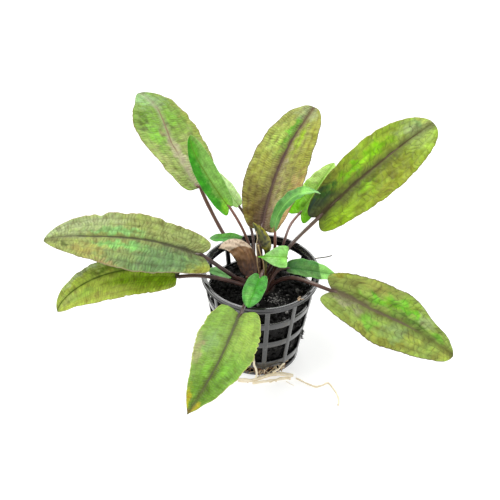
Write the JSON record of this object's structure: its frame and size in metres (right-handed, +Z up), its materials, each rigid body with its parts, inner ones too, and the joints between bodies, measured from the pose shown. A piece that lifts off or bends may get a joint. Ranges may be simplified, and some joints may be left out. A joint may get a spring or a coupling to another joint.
{
  "type": "potted cryptocoryne",
  "caption": "Aquarium plant in a black net pot: a rosette of broad lance-shaped leaves on slender stalks spreads from a short crown, with pale roots trailing at the foot.",
  "frame": {"origin": "on the pot's axis, at the underside of its foot", "axes": "+Z up along the pot's axis; the side towards the camera faces -Y; +X is the picture's right"},
  "size_m": [0.1878, 0.1902, 0.0989],
  "materials": {
    "pot_black": "black moulded polypropylene with a soft sheen",
    "fill_black": "black damp granular potting medium",
    "crown_brown": "rough brown rhizome",
    "leaf_green": "satin olive and green leaf, pale along the midrib",
    "leaf_bronze": "satin bronze-brown leaf with green beside the midrib",
    "young_green": "satin fresh green young leaf",
    "rolled_olive": "rolled olive-yellow leaf",
    "dry_tan": "dry matt tan leaf",
    "root_cream": "cream waxy root"
  },
  "bodies": {
    "root": {"pot": "pot_black", "growing_medium": "fill_black", "crown": "crown_brown", "leaf_back_left": "leaf_green", "leaf_back": "leaf_bronze", "leaf_back_right": "leaf_green", "leaf_left": "leaf_green", "leaf_left_lower": "leaf_green", "leaf_front": "leaf_green", "leaf_front_right": "leaf_green", "young_leaf_tall": "young_green", "young_leaf_back": "young_green", "young_leaf_right": "young_green", "young_leaf_curved": "young_green", "young_leaf_flat": "young_green", "young_leaf_centre": "young_green", "young_leaf_rim_right": "young_green", "young_leaf_front": "young_green", "young_leaf_rim_left": "young_green", "dry_leaf": "dry_tan", "rolled_leaf": "rolled_olive", "root_main": "root_cream", "root_second": "root_cream", "root_loop": "root_cream", "root_branch": "root_cream", "root_trailing": "root_cream"}
  },
  "joints": []
}
